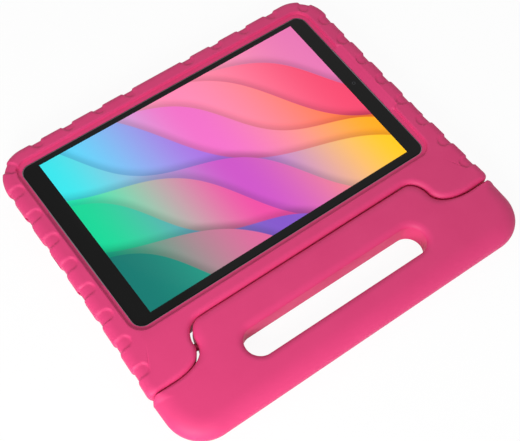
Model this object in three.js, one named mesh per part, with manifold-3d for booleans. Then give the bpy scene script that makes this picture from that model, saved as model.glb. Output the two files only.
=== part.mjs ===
// Kids tablet case with a folding handle, in millimetres.
// Built about the centre of the tablet's screen: +X to the front camera, +Y away from the handle,
// +Z out of the glass. The last lines set the origin under the middle of the whole object.
import * as THREE from "three";
import { mergeVertices } from "three/addons/utils/BufferGeometryUtils.js";
import Module from "manifold-3d";

const wasm = await Module();
wasm.setup();

// Tablet
const tabletLength = 245.2;
const tabletWidth = 149.4;
const tabletThickness = 7.5;
const tabletCorner = 8.3;
const tabletFrontRoll = 0.2;
const tabletBackRoll = 2.4;
const tabletWall = 1.3;
const rimAtEnds = 0.7;
const rimAtSides = 0.8;
const glassLength = tabletLength - 2 * rimAtEnds;
const glassWidth = tabletWidth - 2 * rimAtSides;
const glassThickness = 0.7;
const glassCorner = tabletCorner - rimAtSides;
const glassLedge = 0.6;
const borderAtEnds = 10.4;
const borderAtSides = 3.4;
const panelLength = glassLength - 2 * borderAtEnds;
const panelWidth = glassWidth - 2 * borderAtSides;
const panelThickness = 1.5;
const smallGap = 0.3;

// Case shell
const foamFront = 3.5;
const foamBack = -16;
const caseTop = tabletWidth / 2 + 11.9;
const sideAtTop = tabletLength / 2 + 15.4;
const sideAtLobes = tabletLength / 2 + 19.8;
const sideWaist = tabletLength / 2 + 16.2;
const sideWaistY = -40;
const topCorner = 24.5;
const lobeCorner = 5;
const lipHold = 0.3;
const lipLength = tabletLength - 2 * lipHold;
const lipWidth = tabletWidth - 2 * lipHold;
const lipCorner = 7.8;
const lipThickness = 0.6;
const ledgeWidth = 1.4;
const ridgeRise = 3.4;
const ridgeCorner = 12;
const scoopBack = 1;
const scoopReach = 5.8;
const scoopHalfLength = 31;
const scoopSpread = 5;

// Parting line between the case and its handle
const tongueY = -(tabletWidth / 2 + 14.3);
const lobeY = tongueY - 28.7;
const tongueHalf = tabletLength / 2 - 36.8;
const lobeStart = sideAtLobes - 18.2;
const partGap = 1;
const hingeGap = 2;
const hingeX = tongueHalf + 12.1;
const hingeY = tongueY - 13.9;

// Handle
const handleBottom = lobeY - 44;
const handleHalf = sideAtLobes + 0.4;
const handleCorner = 26.5;
const shoulderCorner = 4;
const slotHalf = tongueHalf - 11.8;
const slotTop = tongueY - 25.4;
const slotBottom = slotTop - 21.5;
const slotFrontRoll = [5.5, 3.5];
const slotBackRoll = [2, 2];
const foldAngle = 105;
const foldClearance = 1;
const foldMargin = 8;

// Edge rolls: front inset, front depth, back inset, back height
const outerRoll = [5, 4, 9, 15];
const wallRoll = [4, 4, 2.5, 2.5];
const lobeRoll = [4, 4, 8, 8];
const handleRoll = [8, 4.5, 11, 14.5];
const tongueRoll = [5, 1.8, 8, 8];
const bendRoll = [6, 2.6, 8, 8];
const shoulderRoll = [3, 2, 3, 3];
const lobeLean = 0.85;
const shoulderLean = 0.3;
const rollSteps = 3;
const knuckleSteps = 32;
const latheSteps = 18;

// Grip recesses
const recessDepth = 1;
const recessWidth = 8.6;
const recessReach = 10.4;
const recessTopReach = 7.4;
const sideRecessFirst = tabletWidth / 2 - 18.2;
const sideRecessPitch = 22.25;
const sideRecessCount = 8;
const topRecessPitch = 25.3;
const topRecessEachSide = 4;

// Hinge pieces
const axleRadius = 2.6;
const axleClearance = 0.25;
const axleShankRadius = 4;
const axleFlangeRadius = 6;
const axleFlangeThickness = 1.4;
const axleShankLength = 16;
const axleReach = 15;
const axleHeadRadius = 3.1;
const axleHeadLength = 1.6;
const socketRadius = 5.2;
const socketLength = 15;
const socketSet = 2.6;
const socketEnd = 1.6;
const frictionRingOuter = 4;
const frictionRingLength = 2;
const frictionRingSet = 2.4;

// Ports, keys and cameras
const portY = 1;
const portCutWidth = 13.5;
const portCutHeight = 6;
const portWidth = 9;
const portHeight = 3.2;
const portDepth = 7;
const portWall = 0.35;
const jackY = tabletWidth / 2 - 18.2;
const jackRadius = 2.1;
const jackBore = 1.75;
const jackDepth = 10;
const jackCutWidth = 8.6;
const speakerY = [34.25, -32.5];
const speakerSlotLength = 13;
const speakerSlotHeight = 1.4;
const speakerCutLength = 15;
const speakerCutHeight = 3.6;
const powerKeyX = tabletLength / 2 - 24.6;
const powerKeyLength = 10;
const volumeKeyX = powerKeyX - 24;
const volumeKeyLength = 21;
const keyHeight = 2.2;
const keyProud = 0.6;
const keyDepth = 2.4;
const keyCutHeight = 6;
const keyCutMargin = 3.5;
const rearCameraX = tabletLength / 2 - 14.6;
const rearCameraY = tabletWidth / 2 - 14.7;
const rearCameraRing = 6.2;
const rearCameraLens = 3.6;
const rearCameraProud = 0.8;
const cameraWindow = 11;
const frontCameraX = glassLength / 2 - 6.9;
const frontCameraRadius = 2.4;

// Battery and board, placed from the housing's inner walls
const insideX = tabletLength / 2 - tabletWall;
const insideY = tabletWidth / 2 - tabletWall;
const batteryFrom = -(insideX - 46.3);
const batteryHalf = insideY - 19.4;
const boardFrom = insideX - 51.3;
const boardWidth = 30;
const boardHalf = insideY - 7.4;
const armReach = insideX - 3.3;
const armLength = 46;
const batterySpace = 8;
const shieldCans = [[4, -10, 20, 22], [6, -52, 30, 24], [4, 26, 20, 16]];

const portDrop = 0.15;
const portZ = -tabletThickness / 2 - portDrop;
const hingeZ = (foamFront + foamBack) / 2;
const halfThick = (foamFront - foamBack) / 2;
const pocketFloor = -tabletThickness - smallGap;
const panelTop = -glassThickness - smallGap;
const farOut = 12;

// Solids from triangles and back
function solidOf(geometry) {
  const bare = geometry.clone();
  bare.deleteAttribute("normal");
  bare.deleteAttribute("uv");
  const merged = mergeVertices(bare, 1e-5);
  const index = Array.from(merged.index.array);
  const kept = [];
  for (let i = 0; i < index.length; i += 3) {
    const [a, b, c] = index.slice(i, i + 3);
    if (a !== b && b !== c && c !== a) kept.push(a, b, c);
  }
  const mesh = new wasm.Mesh({
    numProp: 3,
    vertProperties: Float32Array.from(merged.attributes.position.array),
    triVerts: Uint32Array.from(kept),
  });
  return new wasm.Manifold(mesh);
}

function geometryOf(solid) {
  const mesh = solid.getMesh();
  const geometry = new THREE.BufferGeometry();
  geometry.setAttribute("position", new THREE.BufferAttribute(Float32Array.from(mesh.vertProperties), 3));
  geometry.setIndex(new THREE.BufferAttribute(Uint32Array.from(mesh.triVerts), 1));
  geometry.computeVertexNormals();
  return geometry;
}

function reversed(geometry) {
  const order = Array.from(geometry.index.array);
  for (let i = 0; i < order.length; i += 3) [order[i + 1], order[i + 2]] = [order[i + 2], order[i + 1]];
  return geometry.clone().setIndex(order);
}

function mirrored(geometry) {
  return reversed(geometry.clone().scale(-1, 1, 1));
}

// Six times the enclosed volume, which is negative when the faces point inwards
function signedVolume(geometry) {
  const corner = [0, 1, 2].map(() => new THREE.Vector3());
  const { index, attributes } = geometry;
  let total = 0;
  for (let i = 0; i < index.count; i += 3) {
    corner.forEach((point, k) => point.fromBufferAttribute(attributes.position, index.getX(i + k)));
    total += corner[0].dot(corner[1].clone().cross(corner[2]));
  }
  return total;
}

// Closed skin over rings of equal length, each a list of [x, y, z], from the lowest ring to the highest
function stack(rings) {
  const count = rings[0].length;
  const index = [];
  for (let level = 0; level < rings.length - 1; level++) {
    for (let i = 0; i < count; i++) {
      const a = level * count + i;
      const b = level * count + (i + 1) % count;
      index.push(a, b, b + count, a, b + count, a + count);
    }
  }
  const flat = (ring) => ring.map(([x, y]) => new THREE.Vector2(x, y));
  for (const [a, b, c] of THREE.ShapeUtils.triangulateShape(flat(rings[0]), [])) index.push(a, c, b);
  const last = (rings.length - 1) * count;
  for (const [a, b, c] of THREE.ShapeUtils.triangulateShape(flat(rings.at(-1)), [])) {
    index.push(last + a, last + b, last + c);
  }
  const geometry = new THREE.BufferGeometry();
  geometry.setAttribute("position", new THREE.Float32BufferAttribute(rings.flat(2), 3));
  geometry.setIndex(index);
  return geometry;
}

// Outline points, anticlockwise
function line(ax, ay, bx, by, steps = 1) {
  const points = [];
  for (let i = 0; i <= steps; i++) {
    const t = i / steps;
    points.push({ x: ax + (bx - ax) * t, y: ay + (by - ay) * t });
  }
  return points;
}

function arc(cx, cy, radius, from, to, steps) {
  const points = [];
  for (let i = 0; i <= steps; i++) {
    const turn = THREE.MathUtils.degToRad(from + (to - from) * i / steps);
    points.push({ x: cx + radius * Math.cos(turn), y: cy + radius * Math.sin(turn) });
  }
  return points;
}

function curve(corners, steps) {
  const vectors = corners.map(([x, y]) => new THREE.Vector2(x, y));
  const Bend = vectors.length === 3 ? THREE.QuadraticBezierCurve : THREE.CubicBezierCurve;
  const bend = new Bend(...vectors);
  return bend.getPoints(steps).map(({ x, y }) => ({ x, y }));
}

function joined(...runs) {
  const points = [];
  for (const point of runs.flat()) {
    const last = points.at(-1);
    if (!last || Math.hypot(point.x - last.x, point.y - last.y) > 1e-3) points.push(point);
  }
  return points;
}

function rolled(points, from, to = from) {
  const mix = (t) => from.map((value, k) => value + (to[k] - value) * t);
  return points.map((point, i) => ({ ...point, roll: mix(points.length > 1 ? i / (points.length - 1) : 0) }));
}

// Corner points that all move the same way as the edge rolls over, so that a tight corner has a wide roll
function leaning(points, x, y) {
  return points.map((point) => ({ ...point, lean: { x, y } }));
}

// Unit normals to the right of the way the points run, so outwards on an anticlockwise outline
function normals(points, closed) {
  const count = points.length;
  return points.map((point, i) => {
    const before = closed ? points[(i + count - 1) % count] : points[Math.max(i - 1, 0)];
    const after = closed ? points[(i + 1) % count] : points[Math.min(i + 1, count - 1)];
    const into = new THREE.Vector2(point.x - before.x, point.y - before.y).normalize();
    const out = new THREE.Vector2(after.x - point.x, after.y - point.y).normalize();
    const along = into.add(out).normalize();
    return { x: along.y, y: -along.x };
  });
}

function shifted(points, distances, closed = false) {
  const sides = normals(points, closed);
  const at = (i) => (typeof distances === "number" ? distances : distances[i]);
  return points.map((point, i) => ({
    ...point,
    x: point.x + sides[i].x * at(i),
    y: point.y + sides[i].y * at(i),
  }));
}

function bothHalves(rightHalf) {
  const left = rightHalf.slice(1, -1).reverse().map((point) => {
    const lean = point.lean && { x: -point.lean.x, y: point.lean.y };
    return { ...point, x: -point.x, lean };
  });
  return [...rightHalf, ...left];
}

// Slab whose edges roll over by each point's own radii
function rolledSlab(outline, back, front, lessRoll = 0) {
  const sides = normals(outline, true).map((side, i) => outline[i].lean ?? side);
  const ring = (inset, height) => outline.map((point, i) => {
    const depth = inset(point.roll.map((value) => Math.max(value - lessRoll, 0.2)));
    return [point.x - sides[i].x * depth, point.y - sides[i].y * depth, height(point.roll)];
  });
  const rings = [];
  for (let i = 0; i <= rollSteps; i++) {
    const turn = (i / rollSteps) * Math.PI / 2;
    const height = (roll) => back + Math.max(roll[3] - lessRoll, 0.2) * (1 - Math.cos(turn));
    rings.push(ring((roll) => roll[2] * (1 - Math.sin(turn)), height));
  }
  for (let i = rollSteps; i >= 0; i--) {
    const turn = (i / rollSteps) * Math.PI / 2;
    const height = (roll) => front - Math.max(roll[1] - lessRoll, 0.2) * (1 - Math.cos(turn));
    rings.push(ring((roll) => roll[0] * (1 - Math.sin(turn)), height));
  }
  return solidOf(stack(rings));
}

function prism(points, from, to) {
  return solidOf(stack([from, to].map((z) => points.map(({ x, y }) => [x, y, z]))));
}

function roundedBox(length, width, corner, steps = 6) {
  const x = length / 2 - corner;
  const y = width / 2 - corner;
  return joined(
    arc(x, -y, corner, -90, 0, steps),
    arc(x, y, corner, 0, 90, steps),
    arc(-x, y, corner, 90, 180, steps),
    arc(-x, -y, corner, 180, 270, steps),
  );
}

function box(fromCorner, toCorner) {
  const size = toCorner.map((value, i) => value - fromCorner[i]);
  const geometry = new THREE.BoxGeometry(...size);
  geometry.translate(...fromCorner.map((value, i) => value + size[i] / 2));
  return geometry;
}

// Turned piece about the hinge line: profile points are [x, radius], closing on the axis or on themselves
function turned(profile, steps = 32) {
  const points = profile.map(([x, radius]) => new THREE.Vector2(radius, x));
  const geometry = new THREE.LatheGeometry(points, steps);
  geometry.rotateZ(-Math.PI / 2);
  return signedVolume(geometry) < 0 ? reversed(geometry) : geometry;
}

function onHinge(geometry) {
  return geometry.translate(0, hingeY, hingeZ);
}

// Pill-shaped bar along +Y or +X, for cut-outs through a wall
function pill(length, height, depth, along) {
  const radius = height / 2 - 0.01;
  const points = roundedBox(length, height, radius, 3);
  const geometry = stack([-depth / 2, depth / 2].map((z) => points.map(({ x, y }) => [x, y, z])));
  geometry.rotateX(Math.PI / 2);
  if (along === "x") geometry.rotateZ(Math.PI / 2);
  return geometry;
}

// The S-shaped parting line, from the middle of the tongue out to the lobe's corner
const bendUp = hingeY - tongueY;
const bendDown = lobeY - hingeY;
const straightIn = line(0, tongueY, tongueHalf, tongueY);
const upperBend = curve([
  [tongueHalf, tongueY],
  [tongueHalf + 0.6 * (hingeX - tongueHalf), tongueY],
  [hingeX, hingeY - 0.47 * bendUp],
  [hingeX, hingeY],
], 8);
const lowerBend = curve([
  [hingeX, hingeY],
  [hingeX + 0.5, hingeY + 0.58 * bendDown],
  [hingeX + 0.38 * (lobeStart - hingeX), lobeY],
  [lobeStart, lobeY],
], 9);
const straightOut = line(lobeStart, lobeY, sideAtLobes - lobeCorner, lobeY);
const parting = joined(straightIn, upperBend, lowerBend, straightOut);
const nearHinge = parting.map(({ x, y }) => Math.exp(-(((y - hingeY) / 9) ** 2) - (((x - hingeX) / 9) ** 2)));
const halfGap = nearHinge.map((near) => (partGap + (hingeGap - partGap) * near) / 2);
const caseEdge = shifted(parting, halfGap.map((gap) => -gap));
const handleEdge = shifted(parting, halfGap);
caseEdge[0].x = 0;
handleEdge[0].x = 0;

// Case outline
function edgeRolls(points, straight, bend, outside) {
  return points.map((point) => {
    const bent = Math.exp(-(((point.x - hingeX) / 8) ** 2));
    const base = point.x < hingeX ? straight : outside;
    return { ...point, roll: base.map((value, k) => value + (bend[k] - value) * bent) };
  });
}

const caseLobeY = lobeY + partGap / 2;
const lobeCentreX = sideAtLobes - lobeCorner;
const lobeCentreY = caseLobeY + lobeCorner;
const topCentreX = sideAtTop - topCorner;
const topCentreY = caseTop - topCorner;
const lobeTurn = arc(lobeCentreX, lobeCentreY, lobeCorner, -84, 2, 4);
const caseSide = curve([
  [sideAtLobes, lobeCentreY],
  [sideWaist, sideWaistY],
  [sideAtTop, topCentreY],
], 12);
const caseHalf = joined(
  edgeRolls(caseEdge, wallRoll, wallRoll, lobeRoll).slice(0, -1),
  leaning(rolled(lobeTurn, lobeRoll, outerRoll), 1, -lobeLean),
  rolled(caseSide.slice(1), outerRoll),
  rolled(arc(topCentreX, topCentreY, topCorner, 0, 90, 9), outerRoll),
  rolled(line(topCentreX, caseTop, 0, caseTop), outerRoll),
);
const caseOutline = bothHalves(caseHalf);

// Grip recesses: [x, y, direction in degrees, reach in from the edge]
function recessPlaces() {
  const places = [];
  for (let i = 0; i < sideRecessCount; i++) {
    const y = sideRecessFirst - i * sideRecessPitch;
    const near = caseSide.reduce((best, p) => (Math.abs(p.y - y) < Math.abs(best.y - y) ? p : best));
    places.push([near.x, y, 0, recessReach], [-near.x, y, 180, recessReach]);
  }
  for (let i = -topRecessEachSide; i <= topRecessEachSide; i++) {
    places.push([i * topRecessPitch, caseTop, 90, recessTopReach]);
  }
  const diagonal = topCorner * Math.SQRT1_2;
  places.push([topCentreX + diagonal, topCentreY + diagonal, 45, recessReach]);
  places.push([-topCentreX - diagonal, topCentreY + diagonal, 135, recessReach]);
  return places;
}

function recessStrip([x, y, direction, reach]) {
  const radius = recessWidth / 2;
  const points = joined(
    [{ x: farOut, y: -radius }, { x: farOut, y: radius }],
    arc(radius - reach, 0, radius, 90, 270, 6),
  );
  const turn = THREE.MathUtils.degToRad(direction);
  const placed = points.map((p) => ({
    x: x + p.x * Math.cos(turn) - p.y * Math.sin(turn),
    y: y + p.x * Math.sin(turn) + p.y * Math.cos(turn),
  }));
  return prism(placed, foamBack - 1, foamFront + 1);
}

// Space that the handle needs behind the case's edge as it folds, and the round knuckles in it
const lobeKnuckle = caseEdge.filter((p) => p.y < hingeY && p.x < lobeStart);
const tongueKnuckle = handleEdge.filter((p) => p.y > hingeY && p.x > 0);
const caseTip = hingeX + hingeGap / 2;
const handleTip = hingeX - hingeGap / 2;

function foldRelief() {
  const turn = THREE.MathUtils.degToRad(foldAngle - 90);
  const reach = halfThick + foldClearance;
  const cos = Math.cos(turn);
  const sin = Math.sin(turn);
  const low = -halfThick - 2;
  const section = [
    [0, 0],
    [bendDown - foldMargin, 0],
    [bendDown - foldMargin, low],
    [(reach - low * sin) / cos, low],
    [reach * cos, reach * sin],
  ];
  const geometry = stack([tongueHalf - 2, lobeStart - 8].map((x) => section.map(([y, z]) => [y, z, x])));
  geometry.rotateX(Math.PI / 2);
  geometry.rotateZ(Math.PI / 2);
  return onHinge(geometry);
}

function lobeDome() {
  const rim = lobeKnuckle.at(-1);
  const profile = [
    [caseTip, 0],
    ...lobeKnuckle.map((p) => [p.x, hingeY - p.y]),
    [lobeStart + 2, hingeY - rim.y],
    [lobeStart + 2, 0],
  ];
  return onHinge(turned(profile, knuckleSteps));
}

function tongueDome() {
  const right = tongueKnuckle.map((p) => [p.x, p.y - hingeY]);
  const left = right.map(([x, radius]) => [-x, radius]).reverse();
  const profile = [[-handleTip, 0], ...left, ...right, [handleTip, 0]];
  return onHinge(turned(profile, knuckleSteps));
}

function bothSides(geometry) {
  return [solidOf(geometry), solidOf(mirrored(geometry))];
}

// Hinge pieces on the right: axle in the tongue, socket and friction ring in the lobe
const socketFace = caseTip + socketSet;
const ringFace = socketFace + frictionRingSet;
const flangeFace = handleTip - socketSet;

function axleShape() {
  const shaftEnd = caseTip + axleReach;
  return turned([
    [flangeFace - axleFlangeThickness - axleShankLength, 0],
    [flangeFace - axleFlangeThickness - axleShankLength, axleShankRadius - 0.8],
    [flangeFace - axleFlangeThickness - axleShankLength + 0.8, axleShankRadius],
    [flangeFace - axleFlangeThickness, axleShankRadius],
    [flangeFace - axleFlangeThickness, axleFlangeRadius],
    [flangeFace, axleFlangeRadius],
    [flangeFace, axleRadius],
    [shaftEnd - axleHeadLength, axleRadius],
    [shaftEnd - axleHeadLength, axleHeadRadius],
    [shaftEnd, axleHeadRadius - 0.6],
    [shaftEnd, 0],
  ], latheSteps);
}

function socketShape() {
  const bore = axleRadius + axleClearance;
  const headBore = axleHeadRadius + axleClearance;
  const headFrom = caseTip + axleReach - axleHeadLength - smallGap;
  const end = socketFace + socketLength + socketEnd;
  const groove = frictionRingOuter + smallGap;
  return turned([
    [socketFace, bore],
    [ringFace - smallGap, bore],
    [ringFace - smallGap, groove],
    [ringFace + frictionRingLength + smallGap, groove],
    [ringFace + frictionRingLength + smallGap, bore],
    [headFrom, bore],
    [headFrom, headBore],
    [end - socketEnd, headBore],
    [end - socketEnd, 0],
    [end, 0],
    [end, socketRadius],
    [socketFace, socketRadius],
    [socketFace, bore],
  ], latheSteps);
}

function frictionRingShape() {
  const inner = axleRadius + axleClearance;
  return turned([
    [ringFace, inner],
    [ringFace + frictionRingLength, inner],
    [ringFace + frictionRingLength, frictionRingOuter],
    [ringFace, frictionRingOuter],
    [ringFace, inner],
  ], latheSteps);
}

function socketPocket() {
  const end = socketFace + socketLength + socketEnd + smallGap;
  const pocket = socketRadius + smallGap;
  return onHinge(turned([
    [handleTip, 0],
    [handleTip, axleRadius + 2 * smallGap],
    [socketFace - smallGap, axleRadius + 2 * smallGap],
    [socketFace - smallGap, pocket],
    [end, pocket],
    [end, 0],
  ], latheSteps));
}

function axlePocket() {
  const back = flangeFace - axleFlangeThickness;
  return onHinge(turned([
    [back - axleShankLength - smallGap, 0],
    [back - axleShankLength - smallGap, axleShankRadius + smallGap],
    [back - smallGap, axleShankRadius + smallGap],
    [back - smallGap, axleFlangeRadius + smallGap],
    [flangeFace + smallGap, axleFlangeRadius + smallGap],
    [flangeFace + smallGap, axleRadius + 2 * smallGap],
    [caseTip, axleRadius + 2 * smallGap],
    [caseTip, 0],
  ], latheSteps));
}

// Cut-outs in the case wall beside the tablet
const keyCutFrom = volumeKeyX - volumeKeyLength / 2 - keyCutMargin;
const keyCutTo = powerKeyX + powerKeyLength / 2 + keyCutMargin;
const sidePlace = -(tabletLength / 2 + farOut);

function wallCuts() {
  const keyCut = pill(keyCutTo - keyCutFrom, keyCutHeight, 3 * farOut, "y");
  keyCut.translate((keyCutFrom + keyCutTo) / 2, tabletWidth / 2 + farOut, portZ);
  const portCut = pill(portCutWidth, portCutHeight, 3 * farOut, "x");
  portCut.translate(sidePlace, portY, portZ);
  const jackCut = pill(jackCutWidth, portCutHeight, 3 * farOut, "x");
  jackCut.translate(sidePlace, jackY, portZ);
  const speakerCuts = speakerY.map((y) => {
    const cut = pill(speakerCutLength, speakerCutHeight, 3 * farOut, "x");
    return cut.translate(sidePlace, y, portZ);
  });
  return [keyCut, portCut, jackCut, ...speakerCuts].map(solidOf);
}

function cameraWindowCut() {
  const rings = [
    [foamBack - 1, 3],
    [foamBack, 3],
    [foamBack + 3, 0.6],
    [foamBack + 5, 0],
    [pocketFloor + 1, 0],
  ];
  const shape = roundedBox(2 * cameraWindow, 2 * cameraWindow, cameraWindow - 0.01, 8);
  return solidOf(stack(rings.map(([z, flare]) =>
    shifted(shape, flare, true).map(({ x, y }) => [x + rearCameraX - 1, y + rearCameraY - 1, z]))));
}

function tabletPocket() {
  const length = tabletLength + 2 * smallGap;
  const width = tabletWidth + 2 * smallGap;
  return prism(roundedBox(length, width, tabletCorner + smallGap, 8), pocketFloor, smallGap);
}

function screenOpening() {
  const lipTop = smallGap + lipThickness;
  const lip = roundedBox(lipLength, lipWidth, lipCorner, 8);
  const ledge = roundedBox(lipLength + 2 * ledgeWidth, lipWidth + 2 * ledgeWidth, lipCorner + ledgeWidth, 8);
  const ridge = roundedBox(lipLength + 2 * ridgeRise, lipWidth + 2 * ridgeRise, ridgeCorner, 8);
  const at = (points, z) => points.map(({ x, y }) => [x, y, z]);
  const low = [at(lip, -1), at(lip, lipTop), at(ledge, lipTop)];
  const high = [at(ridge, foamFront), at(ridge, foamFront + 1)];
  return solidOf(stack([...low, ...high]));
}

function sideScoop() {
  const inner = lipLength / 2 - 4;
  const levels = [
    [smallGap + lipThickness, lipLength / 2 + scoopBack, scoopHalfLength],
    [foamFront, lipLength / 2 + scoopReach, scoopHalfLength + scoopSpread],
    [foamFront + 1, lipLength / 2 + scoopReach + 1, scoopHalfLength + scoopSpread + 1],
  ];
  return stack(levels.map(([z, x, y]) => [[inner, -y, z], [x, -y, z], [x, y, z], [inner, y, z]]));
}

function caseShell() {
  let shell = rolledSlab(caseOutline, foamBack, foamFront);
  for (const place of recessPlaces()) shell = shell.subtract(recessStrip(place));
  const coreOutline = shifted(caseOutline, -recessDepth, true);
  const core = rolledSlab(coreOutline, foamBack + recessDepth, foamFront - recessDepth, recessDepth);
  shell = shell.add(core);
  const reliefs = bothSides(foldRelief());
  const domes = bothSides(lobeDome());
  reliefs.forEach((relief, i) => {
    shell = shell.subtract(relief.subtract(domes[i]));
  });
  for (const pocket of bothSides(socketPocket())) shell = shell.subtract(pocket);
  shell = shell.subtract(tabletPocket()).subtract(screenOpening());
  for (const scoop of bothSides(sideScoop())) shell = shell.subtract(scoop);
  for (const cut of wallCuts()) shell = shell.subtract(cut);
  return shell.subtract(cameraWindowCut());
}

// Handle
const handleShoulderY = lobeY - partGap / 2;
const shoulderX = handleHalf - shoulderCorner;
const handleSideTop = handleShoulderY - shoulderCorner;
const cornerX = handleHalf - handleCorner;
const cornerY = handleBottom + handleCorner;
const shoulderTurn = arc(shoulderX, handleSideTop, shoulderCorner, 4, 84, 4);
const handleHalfOutline = joined(
  rolled(line(0, handleBottom, cornerX, handleBottom), handleRoll),
  rolled(arc(cornerX, cornerY, handleCorner, -90, 0, 9), handleRoll),
  rolled(line(handleHalf, cornerY, handleHalf, handleSideTop, 2), handleRoll).slice(0, -1),
  leaning(rolled(shoulderTurn, handleRoll, shoulderRoll), 1, shoulderLean),
  edgeRolls(handleEdge, tongueRoll, bendRoll, shoulderRoll).slice(0, -1).reverse(),
);

function slotPlug() {
  const radius = (slotTop - slotBottom) / 2;
  const shape = roundedBox(2 * slotHalf, 2 * radius, radius - 0.01, 9);
  const centre = (slotTop + slotBottom) / 2;
  const [frontWide, frontDeep] = slotFrontRoll;
  const [backWide, backDeep] = slotBackRoll;
  const rings = [[foamBack - 1, backWide]];
  for (let i = 0; i <= rollSteps; i++) {
    const turn = (i / rollSteps) * Math.PI / 2;
    rings.push([foamBack + backDeep * (1 - Math.cos(turn)), backWide * (1 - Math.sin(turn))]);
  }
  for (let i = rollSteps; i >= 0; i--) {
    const turn = (i / rollSteps) * Math.PI / 2;
    rings.push([foamFront - frontDeep * (1 - Math.cos(turn)), frontWide * (1 - Math.sin(turn))]);
  }
  rings.push([foamFront + 1, frontWide]);
  return solidOf(stack(rings.map(([z, flare]) =>
    shifted(shape, flare, true).map(({ x, y }) => [x, y + centre, z]))));
}

function handleShape() {
  let handle = rolledSlab(bothHalves(handleHalfOutline), foamBack, foamFront);
  const behindTongue = solidOf(box(
    [-hingeX - 6, hingeY, foamBack - 1],
    [hingeX + 6, tongueY + foldMargin, hingeZ],
  ));
  handle = handle.subtract(behindTongue.subtract(solidOf(tongueDome())));
  for (const pocket of bothSides(axlePocket())) handle = handle.subtract(pocket);
  return handle.subtract(slotPlug());
}

// Tablet pieces
function tabletHousing() {
  const outline = roundedBox(tabletLength, tabletWidth, tabletCorner, 6);
  const edge = [tabletFrontRoll, tabletFrontRoll, tabletBackRoll, tabletBackRoll];
  let housing = rolledSlab(rolled(outline, edge), -tabletThickness, -smallGap);
  const inner = roundedBox(2 * insideX, 2 * insideY, tabletCorner - tabletWall, 6);
  const rebate = roundedBox(glassLength + 2 * smallGap, glassWidth + 2 * smallGap, glassCorner + smallGap, 6);
  const well = roundedBox(panelLength + 6, panelWidth + 2, 4, 4);
  const ledgeUnder = panelTop - glassLedge;
  housing = housing.subtract(prism(rebate, panelTop, 1));
  housing = housing.subtract(prism(well, ledgeUnder - 1, 1));
  housing = housing.subtract(prism(inner, -tabletThickness + tabletWall, ledgeUnder));
  const cameraHole = disc(frontCameraRadius + smallGap, ledgeUnder - 1, 1).translate(frontCameraX, 0, 0);
  housing = housing.subtract(solidOf(cameraHole));
  const keyHoles = [[volumeKeyX, volumeKeyLength], [powerKeyX, powerKeyLength]].map(([x, length]) => {
    const hole = pill(length + 2 * smallGap, keyHeight + 2 * smallGap, 8, "y");
    return hole.translate(x, tabletWidth / 2, portZ);
  });
  const portHole = pill(portWidth + 2 * smallGap, portHeight + 2 * smallGap, 8, "x");
  portHole.translate(-tabletLength / 2, portY, portZ);
  const jackHole = pill(2 * (jackRadius + smallGap), 2 * (jackRadius + smallGap), 8, "x");
  jackHole.translate(-tabletLength / 2, jackY, portZ);
  const speakerHoles = speakerY.flatMap((y) => [-1, 0, 1].map((step) => {
    const hole = pill(speakerSlotLength / 3 - 1, speakerSlotHeight, 8, "x");
    return hole.translate(-tabletLength / 2, y + step * speakerSlotLength / 3, portZ);
  }));
  const lensHole = pill(2 * (rearCameraRing - 0.8), 2 * (rearCameraRing - 0.8), 4, "y");
  lensHole.rotateX(Math.PI / 2).translate(rearCameraX, rearCameraY, -tabletThickness);
  for (const hole of [...keyHoles, portHole, jackHole, ...speakerHoles, lensHole]) {
    housing = housing.subtract(solidOf(hole));
  }
  return housing;
}

function key(length) {
  const outside = tabletWidth / 2 + keyProud;
  const cap = pill(length, keyHeight, keyDepth, "y");
  cap.translate(0, outside - keyDepth / 2, 0);
  const inside = outside - keyDepth;
  const reach = length / 2 - 1;
  const foot = box([-reach, inside - 0.8, -keyHeight / 2], [reach, inside + 0.2, keyHeight / 2]);
  return solidOf(cap).add(solidOf(foot));
}

function portShell() {
  const shell = pill(portWidth, portHeight, portDepth, "x");
  const hollow = pill(portWidth - 2 * portWall, portHeight - 2 * portWall, portDepth, "x");
  hollow.translate(-0.8, 0, 0);
  const bladeHalf = portWidth / 2 - 1.6;
  const blade = box([-portDepth / 2 + 0.8, -bladeHalf, -portWall], [portDepth / 2 - 0.5, bladeHalf, portWall]);
  return solidOf(shell).subtract(solidOf(hollow)).add(solidOf(blade));
}

function disc(radius, from, to, steps = 28) {
  const geometry = new THREE.CylinderGeometry(radius, radius, to - from, steps);
  geometry.rotateX(Math.PI / 2).translate(0, 0, (from + to) / 2);
  return geometry;
}

const materials = {
  foam: new THREE.MeshStandardMaterial({ color: 0xd94878, roughness: 0.62, metalness: 0 }),
  plastic: new THREE.MeshStandardMaterial({ color: 0xa81e50, roughness: 0.35, metalness: 0 }),
  rubber: new THREE.MeshStandardMaterial({ color: 0x202022, roughness: 0.8, metalness: 0 }),
  metal: new THREE.MeshStandardMaterial({ color: 0x55585c, roughness: 0.4, metalness: 0.9 }),
  glass: new THREE.MeshStandardMaterial({ color: 0x17181a, roughness: 0.08, metalness: 0 }),
  screen: new THREE.MeshStandardMaterial({ color: 0x7a5aa8, roughness: 0.3, metalness: 0 }),
  board: new THREE.MeshStandardMaterial({ color: 0x1f5a3a, roughness: 0.6, metalness: 0 }),
  cell: new THREE.MeshStandardMaterial({ color: 0x3a3d42, roughness: 0.5, metalness: 0 }),
};

const part = new THREE.Group();
const model = new THREE.Group();
part.add(model);

function put(name, shape, material, place = [0, 0, 0]) {
  const mesh = new THREE.Mesh(shape.isBufferGeometry ? shape : geometryOf(shape), materials[material]);
  mesh.name = name;
  mesh.position.set(...place);
  model.add(mesh);
  return mesh;
}

put("case_body", caseShell(), "foam");
put("handle", handleShape(), "foam");

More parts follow.
